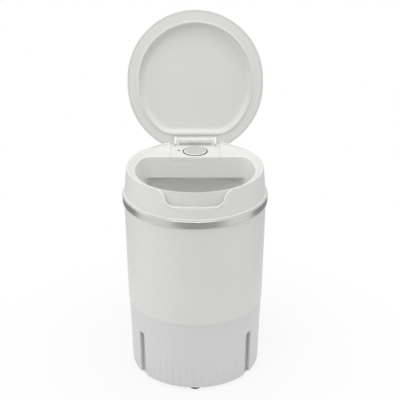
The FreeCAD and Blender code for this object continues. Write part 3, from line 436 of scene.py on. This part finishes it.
# Recess bead: the polished rounded edge that frames the finger recess in the collar, moulded with it.
# It lies in a shallow rebate, a little proud of the collar, and catches the light all the way round;
# its colour is whiter than the collar's as a painted highlight.
def rounded_path(corners, steps):
    """The points of an open path through (x, z, radius) corners, each rounded by an arc."""
    points = [Vector(corners[0][:2])]
    for before, corner, after in zip(corners, corners[1:], corners[2:]):
        middle, radius = Vector(corner[:2]), corner[2]
        back = (Vector(before[:2]) - middle).normalized()
        on = (Vector(after[:2]) - middle).normalized()
        half = back.angle(on) / 2
        centre = middle + (back + on).normalized() * (radius / math.sin(half))
        first = middle + back * (radius / math.tan(half)) - centre
        last = middle + on * (radius / math.tan(half)) - centre
        turn = first.angle_signed(last)
        for i in range(steps + 1):
            angle = -turn * i / steps
            points.append(centre + Matrix.Rotation(angle, 2) @ first)
    points.append(Vector(corners[-1][:2]))
    return points


def swept(radius, stations, sides):
    """A round bar pushed on from station to station, with both ends closed."""
    form = bmesh.new()
    ring = bmesh.ops.create_circle(form, cap_ends=True, segments=sides, radius=radius, matrix=stations[0])
    end = ring["verts"][0].link_faces[0]
    for before, after in zip(stations, stations[1:]):
        made = bmesh.ops.extrude_face_region(form, geom=with_borders([end]))["geom"]
        verts = [item for item in made if isinstance(item, bmesh.types.BMVert)]
        bmesh.ops.transform(form, matrix=after @ before.inverted(), verts=verts)
        end = next(item for item in made if isinstance(item, bmesh.types.BMFace))
    return form


rim_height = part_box("collar")[1][2]
bead_radius = 0.0012
bead_proud = 0.0005
bead_low = 0.0247
bead_end = 0.0018
bead_half_widths = (0.0552, 0.0470, 0.0418)
bead_bend = 0.005
bead_rounds = (0.010, 0.012)
bead_steps, bead_sides = 10, 12
collar_foot, collar_rim = (0.1114, 0.3091), (0.1078, 0.3503)


def on_collar(point):
    """The place of a point of the front view on the outside of the collar, sunk by the bead's radius."""
    share = (point.y - collar_foot[1]) / (collar_rim[1] - collar_foot[1])
    reach = collar_foot[0] + (collar_rim[0] - collar_foot[0]) * share - bead_radius + bead_proud
    return Vector((point.x, -math.sqrt(reach ** 2 - point.x ** 2), point.y))


bead_corners = [(bead_half_widths[0], rim_height - bead_end, 0.0),
                (bead_half_widths[1], rim_height - bead_bend, bead_rounds[0]),
                (bead_half_widths[2], rim_height - bead_low, bead_rounds[1])]
bead_corners = [(-x, z, r) for x, z, r in bead_corners] + bead_corners[::-1]
bead_line = [on_collar(point) for point in rounded_path(bead_corners, bead_steps)]
bead_stations = []
for i, point in enumerate(bead_line):
    along = (bead_line[min(i + 1, len(bead_line) - 1)] - bead_line[max(i - 1, 0)]).normalized()
    side = Vector((point.x, point.y, 0.0)).cross(along).normalized()
    turn = Matrix((side, along.cross(side), along)).transposed().to_4x4()
    bead_stations.append(Matrix.Translation(point) @ turn)
# painted highlight: the bead is whiter than the collar so that its edge shows as a bright line.
bead_painted_highlight = moulded("bead_painted_highlight_white", (0.97, 0.97, 0.96), rough=0.16, grain=gloss_scale,
                      depth=0.000003)
bead = swept(bead_radius, bead_stations, bead_sides)
place_mesh("recess_bead", bead, bead_painted_highlight, "cabinet")

# Control panel: an insert clipped into the deck, with a metal ring around the push button that is painted
# near black as painted shade for the dark line around the button.
# A frosted window beside the button shows the lamp on the board below, and the panel's lip hangs over
# the wall of the opening.
dress(polished_with_painted_light("panel_satin_white", (0.84, 0.84, 0.82), rough=0.4), "control_panel")
# painted shade: the ring's near-black colour stands for the dark line of shade around the button.
dress(metal("bezel_painted_shade_ring", (0.13, 0.13, 0.13), rough=0.24, lines=40.0, stretch=(1.0, 1.0, 60.0)),
      "button_bezel")
dress(moulded("lens_frosted_grey", (0.24, 0.25, 0.25), rough=0.35, grain=1500.0, depth=0.00002),
      "indicator_lens")
dress(moulded("switch_black_plastic", (0.04, 0.04, 0.04), rough=0.5), "tact_switch")

# Push button: a round cap in two shots of plastic, a white rim around a smooth pale grey face.
# It is held from below by its flange and pressed against the switch on the board.
button_seam = 0.0003
button_patches, button_spread = 60.0, 0.12
button_scale, button_depth = 1200.0, 0.000005


def two_shot(name, middle, reach, face, rim, rough):
    """A round finish about an upright axis: one colour out to a radius and another beyond it."""
    material, shade = new_finish(name)
    share = eased(shade, from_axis(shade, middle), (reach, reach + button_seam))
    fine = noise(shade, button_scale, detail=1.0)
    return close_finish(material, shade, Base_Color=tint(shade, share, face, rim),
                        Roughness=rubbed(shade, rough, button_patches, button_spread),
                        Normal=bumped(shade, fine, button_depth))


button_low, button_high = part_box("power_button")
button_middle = [(button_low[i] + button_high[i]) / 2 for i in range(2)]
button_rim = 0.0036
button_reach = (button_high[0] - button_low[0]) / 2 - button_rim
dress(two_shot("button_two_shot", button_middle, button_reach, face=(0.60, 0.61, 0.60),
               rim=(0.86, 0.86, 0.85), rough=0.24), "power_button")

# Wiring: one round black cable from the control board down behind the tub, and one from there to the motor.
# Each is a bundle of wires in a soft rubber jacket, plugged in at the boards and hidden by the shell.
dress(rubber("cable_black_jacket", (0.03, 0.03, 0.03), rough=0.5), "wire_harness", "motor_leads")

# Hinge: a bracket with two ears on the collar, a steel pin, and a leaf with a long knuckle on the lid.
# Bracket and leaf are moulded in the same white as the lid, without the lid's painted shade.
dress(moulded("hinge_satin_white", (0.82, 0.82, 0.80), rough=0.42), "hinge_bracket", "lid_hinge")
dress(ground_steel, "hinge_pin")

# Lid: a shallow cover with a soft outer edge, and a dished liner set into it with a raised lip.
# Both are satin white, painted a little darker than the hinge and shell as painted shade; the liner is a
# little smoother to the touch.
# painted shade: the lid's whites are set darker than the shell's white for the dimmer light on the lid.
dress(moulded("lid_painted_shade_white", (0.765, 0.765, 0.74), rough=0.42), "lid_cover")
dress(moulded("liner_painted_shade_white", (0.77, 0.77, 0.745), rough=0.38), "lid_liner")

# Floor and light: a wide pale floor under a white sky, with soft light from the front, both sides and above.
# The floor is white to the camera and keeps part of the shadow near the feet.
floor_reach = 6.0
floor_fade, floor_glow = (0.16, 0.4), (0.85, 1.0)
floor_paint, white = (0.9, 0.9, 0.9, 1.0), (1.0, 1.0, 1.0, 1.0)
floor_mesh = bpy.data.meshes.new("floor")
form = bmesh.new()
bmesh.ops.create_grid(form, x_segments=1, y_segments=1, size=floor_reach)
form.to_mesh(floor_mesh)
form.free()
floor = bpy.data.objects.new("floor", floor_mesh)
bpy.context.scene.collection.objects.link(floor)


def seen_ray(shade):
    """One for the rays that show the backdrop: straight from the camera, mirrored or through glass."""
    straight = shade.add("ShaderNodeLightPath", {}, {}, "Is Camera Ray")
    mirrored = shade.add("ShaderNodeLightPath", {}, {}, "Is Glossy Ray")
    through = shade.add("ShaderNodeLightPath", {}, {}, "Is Transmission Ray")
    return shade.math("MAXIMUM", straight, shade.math("MAXIMUM", mirrored, through))


material, shade = new_finish("floor_white")
fade = eased(shade, from_axis(shade, (0.0, 0.0)), floor_fade, floor_glow)
paint = shade.add("ShaderNodeBsdfDiffuse", {}, {"Color": floor_paint})
glow = shade.add("ShaderNodeEmission", {}, {"Color": white, "Strength": 1.0})
mixed = shade.add("ShaderNodeMixShader", {}, {0: seen_ray(shade) * fade, 1: paint, 2: glow})
shade.add("ShaderNodeOutputMaterial", {}, {"Surface": mixed})
floor_mesh.materials.append(material)

sky_light = 0.47
world = bpy.data.worlds.new("studio")
bpy.context.scene.world = world
world.use_nodes = True
world.node_tree.nodes.clear()
sky = Shade(world.node_tree)
strength = seen_ray(sky) * (1 - sky_light) + sky_light
light = sky.add("ShaderNodeBackground", {}, {"Color": white, "Strength": strength})
sky.add("ShaderNodeOutputWorld", {}, {"Surface": light})


def softbox(name, place, aim, side, power):
    """A square lamp at a place, turned towards a point of the machine."""
    lamp = bpy.data.lights.new(name, "AREA")
    lamp.size = side
    lamp.energy = power
    box = bpy.data.objects.new(name, lamp)
    bpy.context.scene.collection.objects.link(box)
    box.location = place
    box.rotation_euler = (Vector(aim) - Vector(place)).to_track_quat("-Z", "Y").to_euler()


softbox("key", place=(-0.9, -1.5, 2.2), aim=(0, 0, 0.25), side=1.2, power=12.5)
softbox("top", place=(0.1, 0.0, 2.4), aim=(0, 0, 0.3), side=1.4, power=17.5)
softbox("left", place=(-2.0, -0.1, 0.8), aim=(0, 0, 0.2), side=1.0, power=5.0)
softbox("right", place=(2.0, -0.3, 0.8), aim=(0, 0, 0.2), side=1.0, power=4.5)

# Cards: three grey sheets of board lying just above the floor, which only mirrored rays show.
# They give the trim ring its darker middle and ends, as a room around a table would.
card_height = 0.002
card_grey = moulded("card_grey_board", (0.34, 0.34, 0.34), rough=0.8)


def card(name, x, y, width, depth):
    """One sheet, given by its middle and its sides, that casts no shadow."""
    mesh = bpy.data.meshes.new(name)
    form = bmesh.new()
    sheet = bmesh.ops.create_grid(form, x_segments=1, y_segments=1, size=0.5)
    bmesh.ops.scale(form, vec=(width, depth, 1.0), verts=sheet["verts"])
    bmesh.ops.translate(form, vec=(x, y, card_height), verts=sheet["verts"])
    form.to_mesh(mesh)
    form.free()
    mesh.materials.append(card_grey)
    board = bpy.data.objects.new(name, mesh)
    bpy.context.scene.collection.objects.link(board)
    board.visible_camera = board.visible_diffuse = board.visible_shadow = False


card("card_front", x=0.1, y=-0.95, width=1.0, depth=0.9)
card("card_left", x=-0.85, y=0.7, width=1.0, depth=1.3)
card("card_right", x=0.85, y=0.7, width=1.0, depth=1.3)

# Camera: it stands in front of the machine and looks down on it by about 24 degrees.
# Its place and its lens were fitted to the circles and edges of the machine in the photograph.
picture_width = 400
focal_pixels = 1052.6
sensor_width = 36.0
camera_place = (0.0078, -1.524, 0.982)
camera_pitch = 24.41
lens = bpy.data.cameras.new("camera")
lens.sensor_fit = "HORIZONTAL"
lens.sensor_width = sensor_width
lens.lens = sensor_width * focal_pixels / picture_width
camera = bpy.data.objects.new("camera", lens)
bpy.context.scene.collection.objects.link(camera)
camera.location = camera_place
camera.rotation_euler = (math.radians(90 - camera_pitch), 0, 0)
bpy.context.scene.camera = camera
bpy.context.scene.view_settings.view_transform = "Standard"
